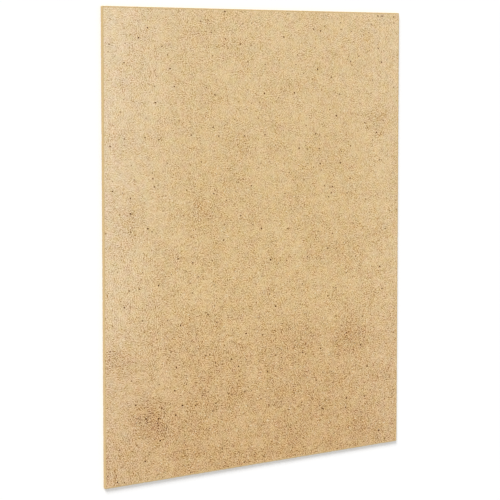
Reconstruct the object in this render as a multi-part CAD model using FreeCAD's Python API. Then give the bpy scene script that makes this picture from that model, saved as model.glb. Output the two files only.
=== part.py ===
import FreeCAD, Part
import os

# One sheet of thin medium-density fibreboard, sawn to a small panel and lying flat.
# Millimetres, +Z up. The origin is the middle of the underside. X runs across the
# panel's width, Y along its length and Z through its thickness.

board_width = 300.0      # along X
board_length = 400.0     # along Y
board_thickness = 3.0    # along Z
corner_radius = 0.7      # at the panel's four corners, seen from above
arris_radius = 0.4       # all round both faces, where they meet the sawn edges


def sawn_sheet():
    """The panel with square arrises and its four corners just taken off."""
    near_corner = FreeCAD.Vector(-board_width / 2, -board_length / 2, 0)
    sheet = Part.makeBox(board_width, board_length, board_thickness, near_corner)
    upright_edges = [edge for edge in sheet.Edges if edge.BoundBox.ZLength > board_thickness / 2]
    return sheet.makeFillet(corner_radius, upright_edges)


def board():
    """The sawn sheet with the arris round each face eased."""
    sheet = sawn_sheet()
    face_rims = [edge for edge in sheet.Edges if edge.BoundBox.ZLength < board_thickness / 2]
    return sheet.makeFillet(arris_radius, face_rims)


nodes = {"board": board()}
os.makedirs("parts", exist_ok=True)
for name, shape in nodes.items():
    shape.exportStep("parts/" + name + ".step")
    print(name, "valid", shape.isValid(), "solids", len(shape.Solids), "volume", round(shape.Volume, 1), "mm3")
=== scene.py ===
import math
import random

import bpy
from mathutils import Matrix, Vector


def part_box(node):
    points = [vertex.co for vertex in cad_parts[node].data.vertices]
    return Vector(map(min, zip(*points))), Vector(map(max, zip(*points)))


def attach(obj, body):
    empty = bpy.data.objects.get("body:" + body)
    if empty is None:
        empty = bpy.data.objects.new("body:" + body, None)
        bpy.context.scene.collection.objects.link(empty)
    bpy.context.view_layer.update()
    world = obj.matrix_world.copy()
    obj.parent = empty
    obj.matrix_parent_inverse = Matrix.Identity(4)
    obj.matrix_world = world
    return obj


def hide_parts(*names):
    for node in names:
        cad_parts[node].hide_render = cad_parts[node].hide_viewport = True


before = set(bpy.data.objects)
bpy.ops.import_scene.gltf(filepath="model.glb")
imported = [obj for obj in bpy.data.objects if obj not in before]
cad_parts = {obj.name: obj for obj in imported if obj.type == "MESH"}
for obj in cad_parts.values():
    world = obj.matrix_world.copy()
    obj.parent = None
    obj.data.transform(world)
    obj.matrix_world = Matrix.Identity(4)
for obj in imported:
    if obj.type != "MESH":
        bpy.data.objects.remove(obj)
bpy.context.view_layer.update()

boardLow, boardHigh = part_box("board")
boardSize = boardHigh - boardLow
boardCentre = (boardLow + boardHigh) / 2
millimetre = 0.001
print("frame loaded, board", [round(side / millimetre, 1) for side in boardSize], "mm")


patternSpread = ((137.0, 997.0), (211.0, 983.0), (59.0, 991.0))  # a seed's step and wrap on each axis


def setStops(ramp, stops):
    while len(ramp.elements) < len(stops):
        ramp.elements.new(0.5)
    for element, (position, colour) in zip(ramp.elements, stops):
        element.position = position
        element.color = (*colour, 1.0)


class Wire:  # a shader socket that takes ordinary operators
    def __init__(self, tree, socket=None):
        self.tree = tree
        self.socket = socket

    def node(self, kind, settings, sockets, output=0):
        made = self.tree.nodes.new(kind)
        for name, value in settings.items():
            if name == "stops":
                setStops(made.color_ramp, value)
            else:
                setattr(made, name, value)
        for name, value in sockets.items():
            if isinstance(value, Wire):
                self.tree.links.new(value.socket, made.inputs[name])
            else:
                made.inputs[name].default_value = value
        return Wire(self.tree, made.outputs[output] if len(made.outputs) else None)

    def beside(self, output):  # another output of the same node
        return Wire(self.tree, self.socket.node.outputs[output])

    def math(self, operation, *values):
        return self.node("ShaderNodeMath", {"operation": operation}, dict(enumerate(values)))

    def __add__(self, other):
        return self.math("ADD", self, other)

    def __radd__(self, other):
        return self.math("ADD", other, self)

    def __sub__(self, other):
        return self.math("SUBTRACT", self, other)

    def __rsub__(self, other):
        return self.math("SUBTRACT", other, self)

    def __mul__(self, other):
        return self.math("MULTIPLY", self, other)

    def __rmul__(self, other):
        return self.math("MULTIPLY", other, self)

    def __truediv__(self, other):
        return self.math("DIVIDE", self, other)

    def __rtruediv__(self, other):
        return self.math("DIVIDE", other, self)

    def least(self, other):
        return self.math("MINIMUM", self, other)

    def most(self, other):
        return self.math("MAXIMUM", self, other)

    def ramp(self, start, end, low=0.0, high=1.0):  # smooth step from low at start to high at end
        settings = {"interpolation_type": "SMOOTHSTEP"}
        if start > end:
            start, end, low, high = end, start, high, low
        return self.node("ShaderNodeMapRange", settings, {
            "Value": self, "From Min": start, "From Max": end, "To Min": low, "To Max": high})

    def axis(self, name):
        return self.node("ShaderNodeSeparateXYZ", {}, {"Vector": self}, name)

    def vector(self, operation, *values, output=0):
        sockets = dict(enumerate((self, *values)))
        return self.node("ShaderNodeVectorMath", {"operation": operation}, sockets, output)

    def scaled(self, factor):
        return self.node("ShaderNodeVectorMath", {"operation": "SCALE"}, {"Vector": self, "Scale": factor})

    def tinted(self, shares):  # a number spread over red, green and blue
        return self.node("ShaderNodeVectorMath", {"operation": "SCALE"}, {"Vector": shares, "Scale": self})

    def blend(self, other, factor):  # this colour under the other one
        if not isinstance(other, Wire):
            other = (*other, 1.0)
        return self.node("ShaderNodeMix", {"data_type": "RGBA"}, {0: factor, 6: self, 7: other}, 2)

    def laid(self, seed, turn=0.0, size=(1.0, 1.0, 1.0)):  # a pattern's own place, turn and size
        shift = tuple(seed * step % wrap for step, wrap in patternSpread)
        return self.node("ShaderNodeMapping", {"vector_type": "TEXTURE"}, {
            "Vector": self, "Location": shift, "Rotation": (0.0, 0.0, turn), "Scale": size})

    def noise(self, size, detail=0.0, roughness=0.5, output="Fac", dimensions="2D"):
        return self.node("ShaderNodeTexNoise", {"noise_dimensions": dimensions}, {
            "Vector": self, "Scale": 1.0 / size, "Detail": detail, "Roughness": roughness}, output)

    def swing(self, size, strength, detail=0.0, roughness=0.5, dimensions="2D"):  # noise about 0, up or down
        level = self.noise(size, detail, roughness, "Fac", dimensions)
        return (level - 0.5) * (2.0 * strength)


# sizes in metres
sheetCut = {
    "cornerRadius": 0.7 * millimetre,
    "arrisRadius": 0.4 * millimetre,
    "roundSteps": 3,
    "cell": 25 * millimetre,         # spacing over the middle of each face
    "halvings": 5,                   # how often that spacing is halved towards the rim
    "edgeRows": 6,                   # rows up each sawn edge
    "smoothAngle": math.radians(40),
    "tiny": 0.01 * millimetre,
}
sawMarks = {
    "sawnEdge": {                    # the saw's ripple
        "depth": 0.035 * millimetre,
        "size": 2.2 * millimetre,
        "stretch": 4.0,
        "start": 0.3,                # pattern level at which the cut begins
        "full": 0.7,                 # and at which it is deepest
    },
    "arris": {                       # small nicks
        "depth": 0.16 * millimetre,
        "size": 2.6 * millimetre,
        "stretch": 1.0,
        "start": 0.56,
        "full": 0.74,
    },
    "turn": (0.0, 0.5, 0.5),         # how the pattern is turned, in radians
    "edgeFrom": 0.9,                 # where each region lies, in shares of the arris radius
    "arrisInset": 0.95,
    "arrisDepths": (0.05, 1.3),
}


def sideGaps(point):  # how far in from the nearer long side and the nearer short side
    return (boardSize.x / 2 - abs(point.x - boardCentre.x), boardSize.y / 2 - abs(point.y - boardCentre.y))


def faceGap(point):  # how far below the upper face or above the under face
    return min(point.z - boardLow.z, boardHigh.z - point.z)


def shapeEdges(piece, wanted, operator, **settings):  # runs an edit operator on the edges that are wanted
    mesh = piece.data
    for vertex in mesh.vertices:
        vertex.select = False
    for face in mesh.polygons:
        face.select = False
    for edge in mesh.edges:
        start, end = (mesh.vertices[number].co for number in edge.vertices)
        edge.select = wanted(start, end)
    bpy.context.tool_settings.mesh_select_mode = (False, True, False)
    bpy.ops.object.mode_set(mode="EDIT")
    operator(**settings)
    bpy.ops.object.mode_set(mode="OBJECT")


def makeSheet():
    cut = sheetCut
    tiny = cut["tiny"]
    bpy.ops.object.select_all(action="DESELECT")
    bpy.ops.mesh.primitive_cube_add(size=1, location=boardCentre, scale=boardSize)
    sheet = bpy.context.object
    sheet.name = "fibreboardSheet"
    bpy.ops.object.transform_apply(location=True, rotation=True, scale=True)

    def level(start, end):
        return abs(start.z - end.z) < tiny

    def upright(start, end):
        return not level(start, end)

    def alongX(start, end):
        return level(start, end) and abs(start.y - end.y) < tiny

    def alongY(start, end):
        return level(start, end) and abs(start.x - end.x) < tiny

    def atCorner(start, end):
        return max(sum(sideGaps(start)), sum(sideGaps(end))) < tiny

    def onRim(start, end):
        nearSide = max(min(sideGaps(start)), min(sideGaps(end))) < cut["cornerRadius"] / 2
        return nearSide and level(start, end) and faceGap(start) < tiny

    for side, wanted in ((boardSize.x, alongX), (boardSize.y, alongY)):
        shapeEdges(sheet, wanted, bpy.ops.mesh.subdivide, number_cuts=round(side / cut["cell"]) - 1)
    for halving in range(cut["halvings"]):
        reach = cut["cell"] / 2 ** halving + tiny

        def towardsRim(start, end):
            return level(start, end) and max(min(sideGaps(start)), min(sideGaps(end))) < reach
        shapeEdges(sheet, towardsRim, bpy.ops.mesh.subdivide, number_cuts=1)
    shapeEdges(sheet, upright, bpy.ops.mesh.subdivide, number_cuts=cut["edgeRows"] - 1)
    steps = cut["roundSteps"]
    shapeEdges(sheet, atCorner, bpy.ops.mesh.bevel, offset=cut["cornerRadius"], segments=steps)
    shapeEdges(sheet, onRim, bpy.ops.mesh.bevel, offset=cut["arrisRadius"], segments=steps)
    print("sheet sawn:", len(sheet.data.polygons), "faces")
    return sheet


def markRegions(sheet):  # the sawn edges, and the arrises between them and the faces
    edgeGroup = sheet.vertex_groups.new(name="sawnEdge")
    arrisGroup = sheet.vertex_groups.new(name="arris")
    arris = sheetCut["arrisRadius"]
    edgeFrom = arris * sawMarks["edgeFrom"]
    arrisInset = arris * sawMarks["arrisInset"]
    shallow, deep = (arris * share for share in sawMarks["arrisDepths"])
    for vertex in sheet.data.vertices:
        depth = faceGap(vertex.co)
        inset = min(sideGaps(vertex.co))
        if inset < edgeFrom and depth > edgeFrom:
            edgeGroup.add([vertex.index], 1.0, "REPLACE")
        if inset < arrisInset and shallow < depth < deep:
            arrisGroup.add([vertex.index], 1.0, "REPLACE")


def relief(sheet, name, depth, size, stretch, start, full):  # cuts into the named region by up to depth
    texture = bpy.data.textures.new(name, "CLOUDS")
    texture.noise_scale = 1.0
    texture.noise_depth = 1
    texture.use_color_ramp = True
    low, high = texture.color_ramp.elements
    low.position, low.color = start, (0, 0, 0, 1)
    high.position, high.color = full, (1, 1, 1, 1)
    bpy.ops.object.empty_add(location=boardCentre, rotation=sawMarks["turn"])
    ruler = bpy.context.object
    ruler.scale = (size, size, size * stretch)
    bpy.context.view_layer.update()
    bpy.ops.object.select_all(action="DESELECT")
    bpy.context.view_layer.objects.active = sheet
    sheet.select_set(True)
    press = sheet.modifiers.new(name, "DISPLACE")
    press.texture = texture
    press.texture_coords = "OBJECT"
    press.texture_coords_object = ruler
    press.vertex_group = name
    press.direction = "NORMAL"
    press.mid_level = 0.0
    press.strength = -depth
    bpy.ops.object.modifier_apply(modifier=press.name)
    bpy.data.objects.remove(ruler)
    bpy.data.textures.remove(texture)


def finishSheet(sheet):
    markRegions(sheet)
    for region in ("sawnEdge", "arris"):
        relief(sheet, region, **sawMarks[region])
    bpy.ops.object.shade_smooth_by_angle(angle=sheetCut["smoothAngle"])
    print("sheet finished:", len(sheet.data.vertices), "points")


# sizes and places in millimetres, strengths as shares of the tone
fibreTone = {
    "alongBoard": (                      # browner at -Y, paler at +Y
        (0.00, (0.608, 0.396, 0.190)),
        (0.26, (0.648, 0.439, 0.218)),
        (0.36, (0.673, 0.471, 0.237)),
        (0.62, (0.682, 0.487, 0.250)),
        (1.00, (0.709, 0.520, 0.288)),
    ),
    "wander": (60.0, 0.04),              # size and reach of the drift's own wandering
    "paintedSheenColour": (0.068, 0.087, 0.106),      # painted sheen: the whitish reflection that the long sides are painted with
    "leftPaintedSheen": (110.0, 1.10),          # width, strength of the painted sheen on the left long side
    "leftSheenAtFoot": (0.0, 0.6, 0.45, 1.0),  # from and to along the board, share left at -Y, share beyond
    "rightPaintedSheen": (75.0, 0.30),          # width, strength of the painted sheen on the right long side
    "coarseShares": (0.74, 1.09, 1.40),  # how red, green and blue follow a change of tone
    "fineShares": (0.86, 1.04, 1.38),
    "redTint": (9.5, 0.073, 2.0, 0.65),  # size, strength, detail, roughness
    "blueTint": (9.0, 0.158, 2.0, 0.65),
    "barkHalo": (0.40, 0.17, 0.03),
    "bark": (0.05, 0.015, 0.0),
    "strand": (0.25, 0.12, 0.03),
    "paleFibre": (0.88, 0.76, 0.53),
}
clouds = {                               # size and strength of each band of cloudiness
    "drifts": (44.0, 0.075),
    "patches": (19.0, 0.05),
    "clumps": (9.0, 0.09),
    "tufts": (4.4, 0.125),
    "rag": (14.0, 16.0),                 # how finely and how far a stain's outline wanders
}
stains = {                               # browner patches, one to each square of a loose grid
    "across": 4,
    "along": 5,
    "stray": 0.35,                       # how far one lies from its square's middle, in squares
    "reach": (20.0, 29.0),
    "depth": (0.05, 0.18),
    "fade": 0.35,                        # the share of that depth that is left at +Y
    "seed": 5,
}
felt = {
    "fibreLength": 3.4,
    "fibreWidth": 0.6,
    "fibres": 0.135,                     # strength
    "layings": 5,                        # directions that the fibres lie in
    "uneven": 0.3,                       # how unevenly those directions are spread
    "unevenStep": 5.0,                   # how that changes from one direction to the next, in radians
    "grain": (1.4, 0.08),                # size, strength
    "grit": (0.92, 0.65),                # the same, finer
    "skew": 0.3,                         # how much further the felt goes dark than pale
    "coarse": (0.0, 0.75, 1.25, 0.85),   # coarser at -Y, calmer at +Y
    "calmSide": (0.0, 90.0, 0.82, 1.0),  # and calmer towards the left long side, under its painted sheen
    "follow": 3.3,                       # how much coarser it looks where it is browner
    "dirtFollow": 5.0,                   # the same for the dark flecks
    "underShift": (37.0, 11.0),          # sets the under face's pattern apart from the upper one's
}
flecks = {                               # cell, half width, stretch, share of cells, strength
    "paleFibres": (2.6, 0.23, 4.0, 0.4, 1.0),
    "strands": (3.2, 0.30, 2.6, 0.5, 0.85),
    "barkHalo": (7.0, 0.68, 1.3, 0.42, 0.85),
    "bark": (7.0, 0.55, 1.3, 0.42, 1.15),
    "sizes": (0.55, 1.45),               # the smallest and largest, as shares of the half width
    "rag": (1.1, 0.5),                   # how finely and how far their outlines wander
    "soft": (1.0, 0.5),                  # where a fleck is gone and where it is whole, in its reaches
}
sawnFace = {
    "colour": (0.630, 0.455, 0.225),
    "mottle": (1.0, 0.05, 2.0, 0.8),     # size, strength, detail, roughness
    "ontoFace": (1.6, 0.8),              # where the face's tone gives way to it, in from the side
}
surface = {
    "roughness": 0.78,
    "roughnessSwing": 0.3,
    "specular": 0.2,
    "bump": 0.5,
    "bumpDepth": 0.1,
    "bumpFibres": 0.4,                   # how much of the felt's tone goes into the height
    "fuzz": (0.4, 0.05, 1.0, 0.8),       # size, strength, detail, roughness
}
seeds = {                                # each sets its pattern's place
    "clouds": 1,                         # and the numbers after it, one to a band
    "stainEdges": 6,
    "fibres": 11,                        # and the numbers after it, one to a direction
    "grain": 21,
    "grit": 22,
    "wander": 31,
    "redTint": 32,
    "blueTint": 33,
    "paleFibres": 41,
    "strands": 42,
    "bark": 43,
    "fleckEdges": 3,                     # added to the flecks' own
}


def wandered(place, seed, size, distance):  # the place, pushed about so that outlines come out ragged
    push = place.laid(seed).noise(size, detail=1.0, roughness=0.6, output="Color")
    return place.vector("ADD", push.vector("SUBTRACT", (0.5, 0.5, 0.5)).scaled(distance))


def toneAndPaintedSheen(along, fromLeft, fromRight):  # the broad tone: a drift along the board, with a painted sheen making the long sides paler
    tone = fibreTone
    # painted sheen: the long sides are painted paler, standing in for light reflected off them
    width, strength = tone["leftPaintedSheen"]
    left = (1.0 - fromLeft / width).most(0.0)
    left = left * left * along.ramp(*tone["leftSheenAtFoot"]) * strength
    width, strength = tone["rightPaintedSheen"]
    right = fromRight.ramp(width, 0.0, 0.0, strength)
    drift = along.node("ShaderNodeValToRGB", {"stops": tone["alongBoard"]}, {"Fac": along})
    return drift.vector("ADD", (left + right).tinted(tone["paintedSheenColour"]))


def drawStains():  # each browner patch's place, reach and depth
    draw = random.Random(stains["seed"])
    stray = stains["stray"]
    for row in range(stains["along"]):
        for column in range(stains["across"]):
            acrossShare = (column + 0.5 + draw.uniform(-stray, stray)) / stains["across"]
            alongShare = (row + 0.5 + draw.uniform(-stray, stray)) / stains["along"]
            x = (acrossShare - 0.5) * boardSize.x / millimetre
            y = (alongShare - 0.5) * boardSize.y / millimetre
            left = 1.0 - (1.0 - stains["fade"]) * alongShare
            yield x, y, draw.uniform(*stains["reach"]), draw.uniform(*stains["depth"]) * left


def cloudiness(place, coarse):  # above 0 where the felt is paler, below where it is browner
    total = None
    for number, name in enumerate(("drifts", "patches", "clumps", "tufts")):
        band = place.laid(seeds["clouds"] + number).swing(*clouds[name], detail=1.0)
        total = band if total is None else total + band
    total = total * coarse
    ragged = wandered(place, seeds["stainEdges"], *clouds["rag"])
    for x, y, reach, depth in drawStains():
        gap = ragged.vector("DISTANCE", (x, y, boardSize.z / millimetre), output="Value")
        total = total - gap.ramp(reach, 0.0, 0.0, depth)
    return total


def feltGrain(place):  # crossed fibres over a finer grain
    total = place.laid(seeds["grain"]).swing(*felt["grain"])
    total = total + place.laid(seeds["grit"]).swing(*felt["grit"])
    for number in range(felt["layings"]):
        turn = math.pi * (number + felt["uneven"] * math.sin(felt["unevenStep"] * number)) / felt["layings"]
        size = (felt["fibreLength"], felt["fibreWidth"], 1.0)
        lying = place.laid(seeds["fibres"] + number, turn, size)
        total = total + lying.swing(size=1.0, strength=felt["fibres"], detail=1.0)
    return total


def scattered(place, seed, cell, halfWidth, stretch, share, strength):  # 0 between flecks, more inside one
    moved = place.laid(seed)
    centre = moved.node("ShaderNodeTexVoronoi", {"voronoi_dimensions": "2D"}, {
        "Vector": moved, "Scale": 1.0 / cell}, "Position")
    chance = centre.beside("Color")
    offset = wandered(moved, seed + seeds["fleckEdges"], *flecks["rag"]).vector("SUBTRACT", centre)
    turned = offset.node("ShaderNodeVectorRotate", {"rotation_type": "Z_AXIS"}, {
        "Vector": offset, "Angle": chance.axis("X") * (2.0 * math.pi)})
    squeezed = turned.vector("MULTIPLY", (1.0 / stretch, 1.0, 0.0))
    smallest, largest = flecks["sizes"]
    reach = (chance.axis("Y") * (largest - smallest) + smallest) * halfWidth
    shape = (squeezed.vector("LENGTH", output="Value") / reach).ramp(*flecks["soft"])
    luck = chance.axis("Z").ramp(share, 0.0)  # few are dark, more are faint
    return shape * luck * luck * strength


def makeFibreboard():
    material = bpy.data.materials.new("sandedFibreboard")
    material.use_nodes = True
    material.node_tree.nodes.clear()
    start = Wire(material.node_tree)
    tone = fibreTone
    width, length, thickness = (side / millimetre for side in boardSize)
    ruled = start.node("ShaderNodeTexCoord", {}, {}, "Object").scaled(1.0 / millimetre)
    x, y, z = (ruled.axis(name) for name in "XYZ")
    fromLeft = x + width / 2
    fromRight = width / 2 - x
    fromFoot = y + length / 2
    fromHead = length / 2 - y
    depth = z - thickness
    shiftX, shiftY = felt["underShift"]
    under = start.node("ShaderNodeCombineXYZ", {}, {"X": depth * shiftX, "Y": depth * shiftY})
    place = ruled.vector("ADD", under)

    along = fromFoot / length + place.laid(seeds["wander"]).swing(*tone["wander"], detail=1.0)
    coarse = along.ramp(*felt["coarse"]) * fromLeft.ramp(*felt["calmSide"])
    cloud = cloudiness(place, coarse)
    fine = feltGrain(place) * (coarse - cloud * felt["follow"])
    fine = fine - fine * fine * felt["skew"]
    red = place.laid(seeds["redTint"]).swing(*tone["redTint"])
    blue = place.laid(seeds["blueTint"]).swing(*tone["blueTint"])
    tint = start.node("ShaderNodeCombineXYZ", {}, {"X": red, "Z": blue})
    change = cloud.tinted(tone["coarseShares"]).vector("ADD", fine.tinted(tone["fineShares"]))
    # the base tone, with the painted sheen on its long sides
    base = toneAndPaintedSheen(along, fromLeft, fromRight)
    face = base.vector("MULTIPLY_ADD", change.vector("ADD", tint), base)

    dirt = coarse - cloud * felt["dirtFollow"]
    pale = scattered(place, seeds["paleFibres"], *flecks["paleFibres"])
    face = face.blend(tone["paleFibre"], pale)
    dark = scattered(place, seeds["strands"], *flecks["strands"])
    face = face.blend(tone["strand"], dark * dirt)
    for name in ("barkHalo", "bark"):  # the same seed, so that each chip of bark sits in its halo
        face = face.blend(tone[name], scattered(place, seeds["bark"], *flecks[name]) * dirt)

    rim = fromLeft.least(fromRight).least(fromFoot).least(fromHead)
    sawn = (ruled.swing(*sawnFace["mottle"], "3D") + 1.0).tinted(sawnFace["colour"])
    colour = face.blend(sawn, rim.ramp(*sawnFace["ontoFace"]))

    roughness = fine * surface["roughnessSwing"] + surface["roughness"]
    height = fine * surface["bumpFibres"] + ruled.swing(*surface["fuzz"], "3D")
    bump = start.node("ShaderNodeBump", {}, {
        "Strength": surface["bump"], "Distance": surface["bumpDepth"] * millimetre, "Height": height})
    skin = start.node("ShaderNodeBsdfPrincipled", {}, {
        "Base Color": colour, "Roughness": roughness, "Normal": bump,
        "Specular IOR Level": surface["specular"]}, "BSDF")
    start.node("ShaderNodeOutputMaterial", {}, {"Surface": skin})
    print("fibreboard finish:", len(material.node_tree.nodes), "nodes")
    return material


studio = {
    "sky": 0.60,                         # the level of the light from all round
    "sunShare": 0.40,                    # what the window adds on a level face
    "sunAngle": math.radians(24),
    "sunFrom": Vector((-0.36, 0.62, 0.42)),
    "floorHalf": 30.0,                   # half the floor's side, in metres
    "paper": 0.92,                       # the floor's grey
    "lift": 0.10,                        # how much paler the floor looks than it is lit
}


def paleView(start):  # 1 for what the camera, a reflection or glass sees
    camera = start.node("ShaderNodeLightPath", {}, {}, "Is Camera Ray")
    return camera.most(camera.beside("Is Glossy Ray")).most(camera.beside("Is Transmission Ray"))


def makeStudio():
    scene = bpy.context.scene
    scene.view_settings.view_transform = "Standard"
    world = bpy.data.worlds.new("paleStudio")
    scene.world = world
    world.use_nodes = True
    world.node_tree.nodes.clear()
    start = Wire(world.node_tree)
    strength = paleView(start) * (1.0 - studio["sky"]) + studio["sky"]
    glow = start.node("ShaderNodeBackground", {}, {"Color": (1, 1, 1, 1), "Strength": strength})
    start.node("ShaderNodeOutputWorld", {}, {"Surface": glow})

    toward = studio["sunFrom"].normalized()
    lamp = bpy.data.lights.new("window", "SUN")
    lamp.angle = studio["sunAngle"]
    lamp.energy = studio["sunShare"] * math.pi / toward.z
    window = bpy.data.objects.new("window", lamp)
    window.rotation_mode = "QUATERNION"
    window.rotation_quaternion = toward.to_track_quat("Z", "Y")
    scene.collection.objects.link(window)

    bpy.ops.mesh.primitive_plane_add(size=2 * studio["floorHalf"], location=(0, 0, boardLow.z))
    floor = bpy.context.object
    floor.name = "floor"
    paper = bpy.data.materials.new("whitePaper")
    paper.use_nodes = True
    paper.node_tree.nodes.clear()
    start = Wire(paper.node_tree)
    grey = studio["paper"]
    matt = start.node("ShaderNodeBsdfDiffuse", {}, {"Color": (grey, grey, grey, 1)})
    lift = start.node("ShaderNodeEmission", {}, {
        "Color": (1, 1, 1, 1), "Strength": paleView(start) * studio["lift"]})
    both = start.node("ShaderNodeAddShader", {}, {0: matt, 1: lift})
    start.node("ShaderNodeOutputMaterial", {}, {"Surface": both})
    floor.data.materials.append(paper)
    print("studio made")


shot = {                                 # place and aim in metres, lens and sensor in millimetres
    "place": Vector((-0.6342, 0.1494, 1.0559)),
    "aim": Vector((-0.0100, 0.0782, 0.0030)),
    "lens": 101.52,
    "sensor": 36.0,
    "shift": -0.20,
}


def makeCamera():
    camera = bpy.data.cameras.new("camera")
    camera.lens = shot["lens"]
    camera.sensor_width = shot["sensor"]
    camera.shift_y = shot["shift"]
    back = (shot["place"] - shot["aim"]).normalized()
    right = Vector((0, 1, 0)).cross(back).normalized()
    up = back.cross(right)
    holder = bpy.data.objects.new("camera", camera)
    holder.matrix_world = Matrix.Translation(shot["place"]) @ Matrix((right, up, back)).transposed().to_4x4()
    bpy.context.scene.collection.objects.link(holder)
    bpy.context.scene.camera = holder
    print("camera placed")


sheet = makeSheet()
finishSheet(sheet)
sheet.data.materials.clear()
sheet.data.materials.append(makeFibreboard())
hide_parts("board")
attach(sheet, "root")
makeStudio()
makeCamera()
